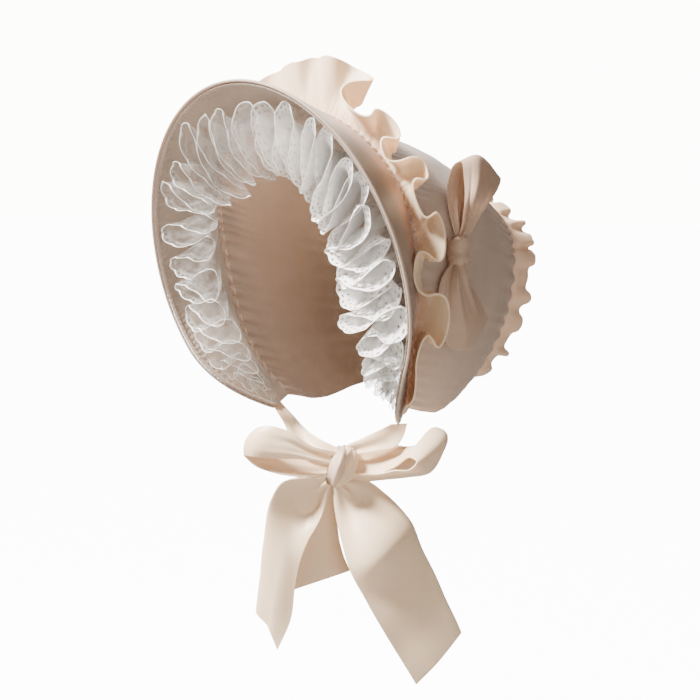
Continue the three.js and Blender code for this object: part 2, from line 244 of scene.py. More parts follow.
# A row of short stitches along a path, each a small rounded bar.
def makeStitches(name, path, count, share, radius):
    deselectAll()
    bars = []
    half = share / count / 2
    for k in range(count):
        middle = (k + 0.5) / count
        start, centre, end = path(np.array([middle - half, middle, middle + half]))
        length = float(np.linalg.norm(end - start))
        bpy.ops.mesh.primitive_uv_sphere_add(segments=8, ring_count=6, radius=1)
        bar = bpy.context.object
        points = np.empty(len(bar.data.vertices) * 3)
        bar.data.vertices.foreach_get("co", points)
        points = points.reshape(-1, 3)
        way = unit(end - start)
        first, other = crossways(way)
        shaped = centre + radius * (points[:, :1] * first + points[:, 1:2] * other)
        shaped = shaped + points[:, 2:] * way * length / 2
        bar.data.vertices.foreach_set("co", (shaped * mm).ravel())
        bars.append(bar)
    deselectAll()
    for bar in bars:
        bar.select_set(True)
    bpy.context.view_layer.objects.active = bars[0]
    bpy.ops.object.join()
    bars[0].name = name
    return bars[0]


def finishPiece(piece, material, nodes=()):
    deselectAll()
    piece.select_set(True)
    bpy.context.view_layer.objects.active = piece
    bpy.ops.object.shade_smooth()
    piece.data.materials.clear()
    piece.data.materials.append(material)
    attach(piece, "root")
    if nodes:
        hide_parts(*nodes)


# Adds a shader node with its settings, and then the values of its inputs.
def addNode(material, kind, place=(0, 0), inputs=(), **settings):
    node = material.node_tree.nodes.new(kind)
    node.location = place
    for key, value in settings.items():
        setattr(node, key, value)
    for socket, value in dict(inputs).items():
        node.inputs[socket].default_value = value
    return node


# A material with no nodes in it yet.
def emptyMaterial(name):
    material = bpy.data.materials.new(name)
    material.use_nodes = True
    material.node_tree.nodes.clear()
    return material


# A painted shade in the gathers at the foot: a deeper, warmer colour where shade falls, that fades
# towards the free edge.
def paintFootShade(material, place, colour, look):
    link = material.node_tree.links.new
    split = addNode(material, "ShaderNodeSeparateXYZ", (-900, 500))
    fade = addNode(
        material, "ShaderNodeMapRange", (-700, 500),
        {"From Max": look["footShadeReach"], "To Min": look["footShadeShare"], "To Max": 0},
        interpolation_type="SMOOTHSTEP",
    )
    blend = addNode(
        material, "ShaderNodeMix", (-150, 450), {"B": (*look["footShadeColour"], 1)}, data_type="RGBA",
    )
    link(place.outputs["UV"], split.inputs["Vector"])
    link(split.outputs["Y"], fade.inputs["Value"])
    link(fade.outputs["Result"], blend.inputs["Factor"])
    link(colour, blend.inputs["A"])
    return blend.outputs["Result"]


# Woven satin: uneven colour, fine threads, soft creases, and a warm glow where light comes through.
def makeSatin(name, look):
    material = emptyMaterial(name)
    link = material.node_tree.links.new
    output = addNode(material, "ShaderNodeOutputMaterial", (900, 0))
    shader = addNode(material, "ShaderNodeBsdfPrincipled", (400, 100), {
        "Specular IOR Level": look["gloss"], "Sheen Weight": look["sheen"],
        "Sheen Roughness": 0.35, "Anisotropic": look["anisotropic"],
    })
    through = addNode(
        material, "ShaderNodeBsdfTranslucent", (400, -250), {"Color": (*look["glow"], 1)},
    )
    both = addNode(material, "ShaderNodeMixShader", (680, 0), {"Fac": look["glowShare"]})
    link(shader.outputs[0], both.inputs[1])
    link(through.outputs[0], both.inputs[2])
    link(both.outputs[0], output.inputs["Surface"])

    place = addNode(material, "ShaderNodeTexCoord", (-1100, 0))
    tone = addNode(material, "ShaderNodeTexNoise", (-700, 250), {"Scale": 22, "Detail": 4})
    link(place.outputs["Object"], tone.inputs["Vector"])
    ramp = addNode(material, "ShaderNodeValToRGB", (-450, 250))
    stops = ramp.color_ramp.elements
    for stop, position, colour in zip(stops, (0.3, 0.7), (look["shade"], look["colour"])):
        stop.position = position
        stop.color = (*colour, 1)
    link(tone.outputs["Fac"], ramp.inputs["Fac"])
    colour = ramp.outputs["Color"]
    # the foot's painted shade, where the look has one
    if "footShadeColour" in look:
        colour = paintFootShade(material, place, colour, look)
    link(colour, shader.inputs["Base Color"])

    rough = addNode(material, "ShaderNodeMapRange", (-450, 0), {
        "To Min": look["roughness"] - look["patchy"], "To Max": look["roughness"] + look["patchy"],
    })
    link(tone.outputs["Fac"], rough.inputs["Value"])
    link(rough.outputs["Result"], shader.inputs["Roughness"])

    crease = addNode(material, "ShaderNodeTexNoise", (-700, -150), {
        "Scale": look["creaseScale"], "Detail": 3, "Distortion": 0.6,
    })
    link(place.outputs["Object"], crease.inputs["Vector"])
    creaseBump = addNode(material, "ShaderNodeBump", (-200, -150), {
        "Strength": 0.6, "Distance": look["creaseDepth"] * mm,
    })
    link(crease.outputs["Fac"], creaseBump.inputs["Height"])

    threads = addNode(material, "ShaderNodeMapping", (-900, -400), {
        "Scale": (1 / look["thread"], 0.6 / look["thread"], 1),
    })
    link(place.outputs["UV"], threads.inputs["Vector"])
    weave = addNode(
        material, "ShaderNodeTexWave", (-700, -400),
        {"Scale": 0.32, "Distortion": 1.2, "Detail": 1}, bands_direction="X",
    )
    link(threads.outputs["Vector"], weave.inputs["Vector"])
    weaveBump = addNode(material, "ShaderNodeBump", (50, -250), {
        "Strength": 0.35, "Distance": look["threadDepth"] * mm,
    })
    link(weave.outputs["Fac"], weaveBump.inputs["Height"])
    link(creaseBump.outputs["Normal"], weaveBump.inputs["Normal"])
    link(weaveBump.outputs["Normal"], shader.inputs["Normal"])
    link(creaseBump.outputs["Normal"], through.inputs["Normal"])
    return material


# the crown's satin: the ribbon's cream satin darkened with painted shade; the other looks start
# from it and set their own colours
shadedSatinLook = dict(
    colour=(0.51, 0.415, 0.35), shade=(0.465, 0.37, 0.31), roughness=0.45, patchy=0.06, gloss=0.42,
    sheen=0.15, anisotropic=0.35, glow=(0.95, 0.72, 0.55), glowShare=0.2, creaseScale=55,
    creaseDepth=0.5, thread=0.0006, threadDepth=0.06,
)
# the ruffle's foot colour is painted shade in its gathers by the brim
ruffleLook = dict(
    shadedSatinLook, colour=(0.985, 0.85, 0.63), shade=(0.97, 0.79, 0.57), glow=(1.0, 0.75, 0.55),
    glowShare=0.3, footShadeColour=(0.94, 0.70, 0.52), footShadeReach=0.011, footShadeShare=0.85,
)
# the frill: the ruffle's satin darkened with painted shade, as it sits in the crown's shade; its
# foot colour is painted shade in its gathers
shadedFrillLook = dict(
    ruffleLook, colour=(0.90, 0.72, 0.54), shade=(0.86, 0.65, 0.47), glowShare=0.36,
    footShadeReach=0.008,
)
# the brim's lining: the same satin darkened with painted shade, as the brim shades it
shadedLiningLook = dict(
    shadedSatinLook, colour=(0.40, 0.31, 0.25), shade=(0.33, 0.255, 0.205), roughness=0.6, sheen=0.1,
    gloss=0.25, glow=(0.75, 0.48, 0.33), glowShare=0.08, creaseDepth=0.7,
)
ribbonLook = dict(
    shadedSatinLook, colour=(0.97, 0.78, 0.56), shade=(0.95, 0.73, 0.50), roughness=0.4, gloss=0.5,
    glow=(0.98, 0.76, 0.60), creaseScale=40, creaseDepth=0.4,
)
# the brim cover: the same satin darkened with painted shade; its foot colour is painted shade,
# deepest at the seam under the ruffle
shadedBrimLook = dict(
    shadedSatinLook, colour=(0.38, 0.285, 0.23), shade=(0.34, 0.25, 0.20),
    footShadeColour=(0.44, 0.23, 0.15), footShadeReach=0.034, footShadeShare=0.85,
)
# the side bow, its strap and the brim's stitches: the ribbon darkened with painted shade, as the
# bow sits in the crown's shade
shadedBowLook = dict(
    shadedSatinLook, colour=(0.54, 0.40, 0.31), shade=(0.48, 0.345, 0.26), glowShare=0.24,
)
# the chin strap: the ribbon darkened with painted shade under the bow's loops
shadedKnotLook = dict(ribbonLook, colour=(0.70, 0.54, 0.43), shade=(0.64, 0.48, 0.375))
laceThreadLook = dict(
    shadedSatinLook, colour=(0.90, 0.87, 0.84), shade=(0.84, 0.80, 0.76), roughness=0.7,
    glow=(0.9, 0.8, 0.7), thread=0.0012,
)
# one cream satin in every look: the ribbon and ruffle carry its lit tone, and the darker looks
# carry painted shade
satin = makeSatin("satin", shadedSatinLook)
shadedBrimSatin = makeSatin("shaded_brim_satin", shadedBrimLook)
ruffleSatin = makeSatin("ruffle_satin", ruffleLook)
shadedFrillSatin = makeSatin("shaded_frill_satin", shadedFrillLook)
lining = makeSatin("lining", shadedLiningLook)
ribbonSatin = makeSatin("ribbon_satin", ribbonLook)
shadedBowSatin = makeSatin("shaded_bow_satin", shadedBowLook)
shadedKnotSatin = makeSatin("shaded_knot_satin", shadedKnotLook)
laceThread = makeSatin("lace_thread", laceThreadLook)

# Lengths in metres of flat lace. The right half is sheer and the left half closer: partly lace
# bunched in layers, partly painted light that makes the left half paler.
laceLook = dict(
    colour=(0.98, 0.968, 0.955), roughness=0.75, sheen=0.4, gloss=0.2, width=0.048, bump=0.5,
    scallop=0.0082, scallopDepth=0.0014, cordWave=0.0007, lobeMiddle=0.6,
    sheer=0.04, sheerTo=0.91, dense=0.8, denseFrom=1.54,
    cords=((0.0, 0.0006, 1.0), (0.0042, 0.0005, 0.85), (0.0098, 0.0003, 0.6)), cordShare=0.95,
    netPitch=0.0013, netShare=0.08, netThread=0.6, netHeight=0.4,
    borderWidth=0.0042, borderShare=0.06, patchy=(-0.08, 0.07),
    slots=((0.0022, 0.0007, 0.1), (0.0062, 0.0008, 0.55)), slotPitch=0.0031, slotOpen=0.8,
)


# Net lace: a sheer ground, corded lines that follow the scalloped edge, and small slots.
def makeLace(name, look):
    material = emptyMaterial(name)
    link = material.node_tree.links.new
    output = addNode(material, "ShaderNodeOutputMaterial", (1200, 0))
    shader = addNode(material, "ShaderNodeBsdfPrincipled", (900, 0), {
        "Base Color": (*look["colour"], 1), "Roughness": look["roughness"],
        "Sheen Weight": look["sheen"], "Specular IOR Level": look["gloss"],
    })
    link(shader.outputs[0], output.inputs["Surface"])

    def reckon(operation, a, b=0):
        node = addNode(material, "ShaderNodeMath", operation=operation)
        for socket, value in zip(node.inputs, (a, b)):
            if isinstance(value, (int, float)):
                socket.default_value = value
            else:
                link(value, socket)
        return node.outputs[0]

    place = addNode(material, "ShaderNodeTexCoord", (-1200, 0))
    split = addNode(material, "ShaderNodeSeparateXYZ", (-1000, 0))
    link(place.outputs["UV"], split.inputs["Vector"])
    along, up = split.outputs["X"], split.outputs["Y"]
    # how closed the net is along the lace: partly real bunching, partly painted light that whitens
    # the wearer's left side
    body = addNode(
        material, "ShaderNodeMapRange", (-450, -800),
        {"From Min": look["sheerTo"], "From Max": look["denseFrom"],
         "To Min": look["sheer"], "To Max": look["dense"]},
        interpolation_type="SMOOTHSTEP",
    )
    link(along, body.inputs["Value"])

    # corded lines at their depths from the free edge: only the edge's own shows on the sheer half
    depth = reckon("SUBTRACT", look["width"], up)
    turn = reckon("MULTIPLY", along, math.pi / look["scallop"])
    lobe = reckon("SUBTRACT", reckon("ABSOLUTE", reckon("SINE", turn)), look["lobeMiddle"])
    curved = reckon("SUBTRACT", depth, reckon("MULTIPLY", lobe, -look["cordWave"]))
    cords = None
    for lineDepth, halfWidth, weight in look["cords"]:
        away = reckon("ABSOLUTE", reckon("SUBTRACT", curved, lineDepth))
        line = reckon("MULTIPLY", reckon("LESS_THAN", away, halfWidth), weight)
        if lineDepth > 0:
            line = reckon("MULTIPLY", line, body.outputs["Result"])
        cords = line if cords is None else reckon("MAXIMUM", cords, line)

    # the net's two sets of threads
    net = None
    for way in (1, -1):
        sloped = reckon("ADD", along, reckon("MULTIPLY", up, way))
        strand = reckon("SINE", reckon("MULTIPLY", sloped, 2 * math.pi / look["netPitch"]))
        strand = reckon("GREATER_THAN", strand, look["netThread"])
        net = strand if net is None else reckon("MAXIMUM", net, strand)

    # denser and thinner patches, and a border that is a little closer than the rest
    patch = addNode(material, "ShaderNodeTexNoise", (-700, -500), {"Scale": 110, "Detail": 2})
    link(place.outputs["UV"], patch.inputs["Vector"])
    thinnest, thickest = look["patchy"]
    cloud = addNode(material, "ShaderNodeMapRange", (-450, -500), {
        "From Min": 0.35, "From Max": 0.65, "To Min": thinnest, "To Max": thickest,
    })
    link(patch.outputs["Fac"], cloud.inputs["Value"])
    netting = reckon("MULTIPLY", net, look["netShare"])
    inBorder = reckon("LESS_THAN", curved, look["borderWidth"])
    border = reckon("MULTIPLY", inBorder, look["borderShare"])
    clouded = reckon("ADD", body.outputs["Result"], cloud.outputs["Result"])
    ground = reckon("ADD", clouded, reckon("ADD", netting, border))

    # short slots that stand open between the cords
    slotWave = reckon("SINE", reckon("MULTIPLY", along, 2 * math.pi / look["slotPitch"]))
    slots = None
    for slotDepth, halfWidth, least in look["slots"]:
        away = reckon("ABSOLUTE", reckon("SUBTRACT", curved, slotDepth))
        band = reckon("LESS_THAN", away, halfWidth)
        slot = reckon("MULTIPLY", reckon("GREATER_THAN", slotWave, least), band)
        slots = slot if slots is None else reckon("MAXIMUM", slots, slot)
    closed = reckon("SUBTRACT", 1, reckon("MULTIPLY", slots, look["slotOpen"]))
    ground = reckon("MULTIPLY", ground, closed)
    corded = reckon("MULTIPLY", cords, look["cordShare"])
    link(reckon("MAXIMUM", ground, corded), shader.inputs["Alpha"])

    bump = addNode(material, "ShaderNodeBump", (650, -200), {
        "Strength": 0.8, "Distance": look["bump"] * mm,
    })
    raised = reckon("MULTIPLY", net, look["netHeight"])
    link(reckon("MAXIMUM", cords, raised), bump.inputs["Height"])
    link(bump.outputs["Normal"], shader.inputs["Normal"])
    return material


lace = makeLace("lace", laceLook)
print("materials ready")

brim = dict(
    wall=1.0, apart=0.7, dent=0.5, steps=(320, 24), uvSize=(0.53, 0.048),
    liningWall=0.8, liningDrop=0.4, sag=0.8, pucker=0.45, puckers=150, puckerReach=0.12, give=0.8,
    liningSteps=(640, 24), cordRadius=1.0, cordOut=1.3, cordSteps=(420, 12),
    edgeWall=0.6, edgeOut=0.4, edgeWidth=2.8, edgeLift=1.0, edgeRound=0.45, edgePucker=0.1,
    edgeSteps=(480, 8), edgeSize=(0.60, 0.003),
    stitches=175, stitchShare=0.6, stitchRadius=0.28, stitchAt=0.72, stitchLift=1.75,
)


def offsetBrim(side, out, lift):
    point, away, _ = surfaceFrame(brimSurface, side, out)
    return point + away * lift[..., None]


def brimCover(along, out):
    dents = brim["dent"] * wander(along, 2, 3) * np.sin(math.pi * out)
    return offsetBrim(mix(-1, 1, along), out, brim["apart"] + dents)


def brimLining(along, out):
    pucker = np.sin(2 * math.pi * brim["puckers"] * along + 2 * wander(along, 5, 9))
    nearEdge = np.exp(-(((1 - out) / brim["puckerReach"]) ** 2))
    sag = brim["sag"] * wander(along, 4, 4) * np.sin(math.pi * out)
    sag = sag + brim["pucker"] * pucker * nearEdge
    drop = -brim["apart"] - brim["liningDrop"] + sag * brim["give"]
    return offsetBrim(mix(-1, 1, along), out, drop)


cover = makeSheet("brim_cover", brim["steps"], brimCover, brim["uvSize"])
thicken(cover, brim["wall"])
finishPiece(cover, shadedBrimSatin, ["brim"])
innerLining = makeSheet("brim_lining", brim["liningSteps"], brimLining, brim["uvSize"])
thicken(innerLining, brim["liningWall"])
finishPiece(innerLining, lining)


# The distance from the seam to the rim, at a side.
def brimReach(side):
    seam, rim = brimSurface(side, np.zeros_like(side)), brimSurface(side, np.ones_like(side))
    return np.linalg.norm(rim - seam, axis=-1)


# A satin-covered cord is sewn round the rim, and the lining is turned in just inside it.
def rimCord(along):
    side = mix(-1, 1, along)
    return brimSurface(side, 1 + brim["cordOut"] / brimReach(side))


def brimEdge(along, across):
    side = mix(-1, 1, along)
    out = 1 + (brim["edgeOut"] - brim["edgeWidth"] * across) / brimReach(side)
    pucker = brim["edgePucker"] * np.sin(2 * math.pi * brim["puckers"] * along)
    rounded = brim["edgeRound"] * np.sin(math.pi * np.clip(across, 0, 1))
    return offsetBrim(side, out, -(brim["apart"] + brim["edgeLift"] + rounded + pucker))


def brimStitch(along):
    side = mix(-1, 1, along)
    out = 1 + (brim["edgeOut"] - brim["edgeWidth"] * brim["stitchAt"]) / brimReach(side)
    return offsetBrim(side, out, np.full_like(side, -(brim["apart"] + brim["stitchLift"])))


cord = makeCord("rim_cord", rimCord, brim["cordRadius"], brim["cordSteps"])
finishPiece(cord, satin, ["rim_piping"])
edge = makeSheet("brim_edge", brim["edgeSteps"], brimEdge, brim["edgeSize"])
thicken(edge, brim["edgeWall"])
finishPiece(edge, satin)
stitches = makeStitches(
    "brim_stitches", brimStitch, brim["stitches"], brim["stitchShare"], brim["stitchRadius"],
)
finishPiece(stitches, shadedBowSatin)

crown = dict(
    wall=1.4, steps=(560, 76), uvSize=(0.62, 0.16), drift=0.5, slant=1.5, backSlant=-2,
    gathers=74, gatherDepth=1.1, gatherReach=0.10, backGathers=46, backDepth=1.0, backReach=0.13,
    softness=(1.3, 0.8),
)


def crownCloth(along, across):
    point, away, _ = surfaceFrame(crownSurface, mix(-1, 1, along), across)
    drift = crown["drift"] * wander(along, 3, 6)
    slant, backSlant = crown["slant"] * across, crown["backSlant"] * across
    front = np.sin(2 * math.pi * crown["gathers"] * along + 2 * drift + slant)
    front = crown["gatherDepth"] * front * np.exp(-across / crown["gatherReach"])
    rear = np.sin(2 * math.pi * crown["backGathers"] * along + 3 * drift + backSlant)
    rear = crown["backDepth"] * rear * np.exp(-(1 - across) / crown["backReach"])
    alongSoft, acrossSoft = crown["softness"]
    middle = np.sin(math.pi * across)
    soft = alongSoft * wander(along + 0.13 * across, 8, 4) * middle
    soft = soft + acrossSoft * wander(across + 0.4 * along, 6, 2) * middle
    return point + away * (front + rear + soft)[..., None]


crownPiece = makeSheet("crown_cloth", crown["steps"], crownCloth, crown["uvSize"])
thicken(crownPiece, crown["wall"])
finishPiece(crownPiece, satin, ["crown"])

# lowShare is the share of each half that the straight lower edge takes
backPanel = dict(
    inset=0.3, setIn=1, dome=5, wall=1.4, lowShare=0.12, ruck=0.7, ruckReach=0.12,
    steps=(640, 24), uvSize=(0.4, 0.075),
)


# The oval back, from its centre out to the crown's edge, closed below by a straight edge.
def backCloth(along, across):
    inset, lowShare = backPanel["inset"], backPanel["lowShare"]
    turn = mix(-1, 1, along)
    side = np.clip(turn / (1 - lowShare), -1, 1)
    edge = crownCloth((side + 1) / 2, np.ones_like(side))
    edge = edge - unit(edge * (1, 0, 1)) * inset
    low = crownCloth(np.array([0.0, 1.0]), np.array([1.0, 1.0]))
    corner = np.where(along[..., None] < 0.5, low[0], low[1])
    corner = corner - unit(corner * (1, 0, 1)) * inset
    middleLow = low.mean(axis=0) + np.array([0, 0, inset])
    beyond = np.clip((np.abs(turn) - (1 - lowShare)) / lowShare, 0, 1)[..., None]
    edge = np.where(beyond > 0, mix(corner, middleLow, beyond), edge)
    centre = np.array([0, backY, crownSections["centreZ"][-1]])
    point = mix(centre, edge, across[..., None])
    ruck = backPanel["ruck"] * np.sin(math.pi * crown["backGathers"] * along)
    ruck = ruck * np.exp(-(1 - across) / backPanel["ruckReach"])
    domed = backPanel["dome"] * (1 - across * across)
    point[..., 1] = backY - backPanel["setIn"] + domed + ruck
    return point


panel = makeSheet("back_cloth", backPanel["steps"], backCloth, backPanel["uvSize"])
applyModifier(panel, "WELD", merge_threshold=weldGap)
thicken(panel, backPanel["wall"], hem=0)
finishPiece(panel, satin, ["back_panel"])
print("brim and crown ready")

foldTable = dict(steps=64, levels=24, widest=2.3)


# How far along and how far over a fold's curve has gone, for a share of its cloth and a swing in
# radians: past a quarter turn the fold overhangs, as a gathered edge does.
def foldShare(share, swing):
    steps, levels, widest = foldTable.values()
    s = (np.arange(steps) + 0.5) / steps
    angle = np.linspace(0, widest, levels)[:, None] * np.sin(math.pi * s)[None]
    start = np.zeros((levels, 1))
    alongTable = np.concatenate([start, np.cumsum(np.cos(angle), axis=1)], axis=1)
    overTable = np.concatenate([start, np.cumsum(np.sin(angle), axis=1)], axis=1)
    overTable[0] = np.linspace(0, 1, steps + 1)
    alongTable = alongTable / alongTable[:, -1:]
    overTable = overTable / overTable[:, -1:]
    last = levels - 1
    level = np.clip(np.asarray(swing, float) / widest * last, 0, last - 0.001)
    column = np.clip(share * steps, 0, steps - 0.001)
    i, j = level.astype(int), column.astype(int)
    u, v = level - i, column - j

    def read(table):
        near = mix(table[i, j], table[i + 1, j], u)
        far = mix(table[i, j + 1], table[i + 1, j + 1], u)
        return mix(near, far, v)

    return read(alongTable), read(overTable)


# A row for each fold of a ruffle's free edge: at along the arch, lean in degrees forwards (-) or
# back (+), and reach, its height.
ruffleFolds = dict(
    at=[-1.0, -0.94, -0.87, -0.79, -0.72, -0.66, -0.57, -0.49, -0.43, -0.35, -0.27, -0.19, -0.12,
        -0.06, 0.02, 0.06, 0.11, 0.165, 0.285, 0.355, 0.44, 0.475, 0.545, 0.645, 0.715, 0.77, 0.87,
        0.93, 1.0],
    lean=[-44, -14, -54, -10, -58, -12, -54, -14, -60, -20, -56, 6, -24, -8, -16, -4, -12, 8, -60,
          -26, -64, -17, -48, -14, -60, -10, -46, -42, -56],
    reach=[27, 29, 30, 30, 30, 30, 30, 29, 29, 28, 25, 23, 23, 26, 31, 35, 38, 36, 31, 30, 30, 30,
           30, 30, 30, 31, 30, 28, 26],
)
ruffle = dict(
    across=0.03, ends=0.975, seat=-0.8, foot=1.0, wall=1.1, swing=1.7, leastSwing=0.1,
    steepLean=34, seatLean=0.55, leanRise=0.6, gathers=105, gatherDepth=0.3, gatherReach=0.16,
    dent=1.2, foldSteps=26, upSteps=26,
)


def foldAt(folds, at):
    marks = np.array(folds["at"], float)
    i = np.clip(np.searchsorted(marks, at, side="right") - 1, 0, len(marks) - 2)
    return i, (at - marks[i]) / (marks[i + 1] - marks[i])


def frontRuffle(along, up):
    i, share = foldAt(ruffleFolds, mix(-1, 1, along))
    marks, leans, reaches = (np.array(ruffleFolds[k], float) for k in ("at", "lean", "reach"))
    steep = np.minimum(1, np.abs(leans[i + 1] - leans[i]) / ruffle["steepLean"])
    swing = ruffle["swing"] * steep * smooth(up * 2) + ruffle["leastSwing"]
    alongShare, overShare = foldShare(share, swing)
    side = mix(marks[i], marks[i + 1], alongShare) * ruffle["ends"]
    lean = np.radians(mix(leans[i], leans[i + 1], overShare))
    lean = lean * mix(ruffle["seatLean"], 1.0, up ** ruffle["leanRise"])
    reach = mix(reaches[i], reaches[i + 1], smooth(share)) * up
    point, out, aft = surfaceFrame(crownSurface, side, np.full_like(side, ruffle["across"]))
    gather = np.sin(2 * math.pi * ruffle["gathers"] * along + 5 * wander(along, 9, 12))
    gather = ruffle["gatherDepth"] * gather * np.exp(-up / ruffle["gatherReach"])
    stand = mix(ruffle["seat"], ruffle["foot"], smooth(up * 6)) + reach * np.cos(lean)
    dent = ruffle["dent"] * wander(along + 0.02 * up, 21, 17) * np.sin(math.pi * up * 0.8)
    return point + out * stand[..., None] + aft * (reach * np.sin(lean) + gather + dent)[..., None]


ruffleCloth = (0.90, 0.031)
ruffleSteps = (ruffle["foldSteps"] * (len(ruffleFolds["at"]) - 1), ruffle["upSteps"])
frontPiece = makeSheet("ruffle_cloth", ruffleSteps, frontRuffle, ruffleCloth)
thicken(frontPiece, ruffle["wall"])
finishPiece(frontPiece, ruffleSatin, ["front_ruffle"])

# The frill has its first height over the head, and grows past lowTo to its second by the ears.
frill = dict(
    across=0.975, ends=0.985, seat=-0.7, foot=0.9, height=(8, 21), lowTo=0.12, growOver=0.4,
    waves=22, drift=0.45, tilt=66, seatTilt=0.9, swing=3.0, seatSwing=0.08, fold=1.0,
    leastFold=0.05, ragged=0.09, wall=0.8, foldSteps=16, upSteps=12,
)


def foldSize(k):
    return 1 + 0.55 * np.sin(k * 2.4) * np.sin(k * 0.7 + 1)


def backFrill(along, up):
    halfWaves = 2 * frill["waves"]
    drift = frill["drift"] * wander(along, 11, 10)
    fold = along * halfWaves + drift
    i = np.floor(fold)
    alongShare, overShare = foldShare(fold - i, frill["fold"] * up + frill["leastFold"])
    side = mix(-1, 1, (i + alongShare - drift) / halfWaves) * frill["ends"]
    start = np.where(i % 2 == 0, -1.0, 1.0)
    over = mix(start * foldSize(i), -start * foldSize(i + 1), overShare)
    over = over * frill["swing"] * mix(frill["seatSwing"], 1, up)
    tilt = np.radians(frill["tilt"]) * mix(frill["seatTilt"], 1, up)
    height = mix(*frill["height"], smooth((np.abs(side) - frill["lowTo"]) / frill["growOver"]))
    reach = height * up * (1 + frill["ragged"] * wander(along, 7, 11))
    point, out, aft = surfaceFrame(crownSurface, side, np.full_like(side, frill["across"]))
    stand = mix(frill["seat"], frill["foot"], smooth(up * 5)) + reach * np.cos(tilt) + over
    return point + out * stand[..., None] + aft * (reach * np.sin(tilt))[..., None]


frillCloth = (0.56, 0.017)
frillSteps = (frill["foldSteps"] * 2 * frill["waves"], frill["upSteps"])
frillPiece = makeSheet("frill_cloth", frillSteps, backFrill, frillCloth)
thicken(frillPiece, frill["wall"])
finishPiece(frillPiece, shadedFrillSatin, ["back_frill"])

laceRuffle = dict(
    across=0.12, ends=0.97, foot=1.6, cloth=2.4, area=0.082, cordRadius=0.21, cordSides=6,
    roundness=0.024, seatLean=0.3, sway=6, ragged=0.05, gathers=130, gatherDepth=0.6,
    gatherReach=0.3, foldSteps=54, upSteps=20,
)
# A row for each fold of the lace's free edge, from the right ear to the left: first a near one
# that stands in towards the face, then a far one that lies back towards the rim, and so on.
laceFolds = dict(
    at=[-0.99, -0.98, -0.965, -0.94, -0.94, -0.895, -0.915, -0.86, -0.885, -0.8, -0.84, -0.74,
        -0.78, -0.67, -0.71, -0.6, -0.58, -0.51, -0.48, -0.4, -0.42, -0.33, -0.36, -0.2, -0.29,
        -0.14, -0.2, -0.06, -0.09, 0.03, 0.06, 0.115, 0.17, 0.15, 0.28, 0.24, 0.345, 0.27, 0.41,
        0.36, 0.475, 0.395, 0.53, 0.45, 0.6, 0.535, 0.66, 0.575, 0.72, 0.655, 0.78, 0.7, 0.8, 0.77,
        0.85, 0.82, 0.89, 0.87, 0.92, 0.91, 0.95, 0.95, 0.99],
    lean=[35, 64, 30, 66, 24, 69, 18, 71, 16, 74, 14, 76, 20, 77, 20, 79, 18, 75, 20, 79, 24, 72,
          12, 74, 2, 74, -6, 71, -20, 78, -4, 82, -8, 88, 16, 87, 8, 88, 18, 87, 12, 88, 20, 87, 8,
          88, 14, 87, 8, 88, 16, 87, 44, 87, 48, 86, 40, 86, 46, 84, 40, 84, 60],
    reach=[17, 20, 21, 25, 25, 29, 29, 33, 33, 38, 37, 41, 42, 45, 44, 47, 46, 48, 47, 47, 48, 45,
           50, 50, 50, 44, 49, 49, 50, 43, 48, 50, 48, 42, 52, 48, 50, 41, 55, 48, 58, 43, 56, 49,
           57, 43, 53, 48, 51, 43, 48, 46, 44, 42, 40, 38, 33, 31, 26, 23, 19, 16, 13],
)


def uneven(k, seed):
    return np.sin(k * 12.9898 + seed * 4.1) * np.sin(k * 3.33 + seed)


def laceSurface(along, up):
    halfWaves = len(laceFolds["at"]) - 1
    fold = along * halfWaves
    i = np.clip(np.floor(fold), 0, halfWaves - 1).astype(int)
    share = fold - i
    sides, leans, reaches = (np.array(laceFolds[k], float) for k in ("at", "lean", "reach"))

    # each fold's end is round, and wider than the neck between its neighbours
    end = np.where(share < 0.5, i, i + 1)
    bulge = laceRuffle["roundness"] * (1 + 0.5 * uneven(end, 5)) * np.sin(2 * math.pi * share)
    folded = mix(sides[i], sides[i + 1], smooth(share)) + bulge
    held = np.pad(sides, 2, "edge")
    seat = (held[:-4] + 2 * held[1:-3] + 2 * held[2:-2] + 2 * held[3:-1] + held[4:]) / 8
    side = mix(mix(seat[i], seat[i + 1], share), folded, smooth(up * 1.25))
    side = side * laceRuffle["ends"]
    lean = mix(leans[i], leans[i + 1], smooth(share))
    lean = np.radians(lean + laceRuffle["sway"] * wander(along, 31, 30) * up)
    lean = lean * mix(laceRuffle["seatLean"], 1, up)
    ragged = 1 + laceRuffle["ragged"] * wander(along, 33, 22)
    height = mix(reaches[i], reaches[i + 1], share) * ragged
    lobe = np.abs(np.sin(math.pi * along * laceRuffle["cloth"] / laceLook["scallop"]))
    reach = height * up - laceLook["scallopDepth"] / mm * (1 - lobe) * up ** 8
    point, out, aft = surfaceFrame(brimSurface, side, np.full_like(side, laceRuffle["across"]))
    gather = np.sin(2 * math.pi * laceRuffle["gathers"] * along + 3 * wander(along, 13, 20))
    gather = laceRuffle["gatherDepth"] * gather * np.exp(-up / laceRuffle["gatherReach"])
    stand = laceRuffle["foot"] + reach * np.cos(lean)
    return point - out * stand[..., None] + aft * (reach * np.sin(lean) + gather)[..., None]


def laceEdge(along):
    return laceSurface(along, np.ones_like(along))


laceSteps = laceRuffle["foldSteps"] * (len(laceFolds["at"]) - 1)
laceFlat = (laceRuffle["cloth"], laceLook["width"])
lacePiece = makeSheet("lace_cloth", (laceSteps, laceRuffle["upSteps"]), laceSurface, laceFlat)
finishPiece(lacePiece, lace, ["lace_ruffle"])
laceCordSteps = (laceSteps, laceRuffle["cordSides"])
laceCord = makeCord("lace_cord", laceEdge, laceRuffle["cordRadius"], laceCordSteps)
finishPiece(laceCord, laceThread)
print("ruffles ready")

ribbonWall = 0.9
# Both bows are turned to the wearer's left, so their lines are in millimetres across, near and up.
bowTurn = math.radians(37)


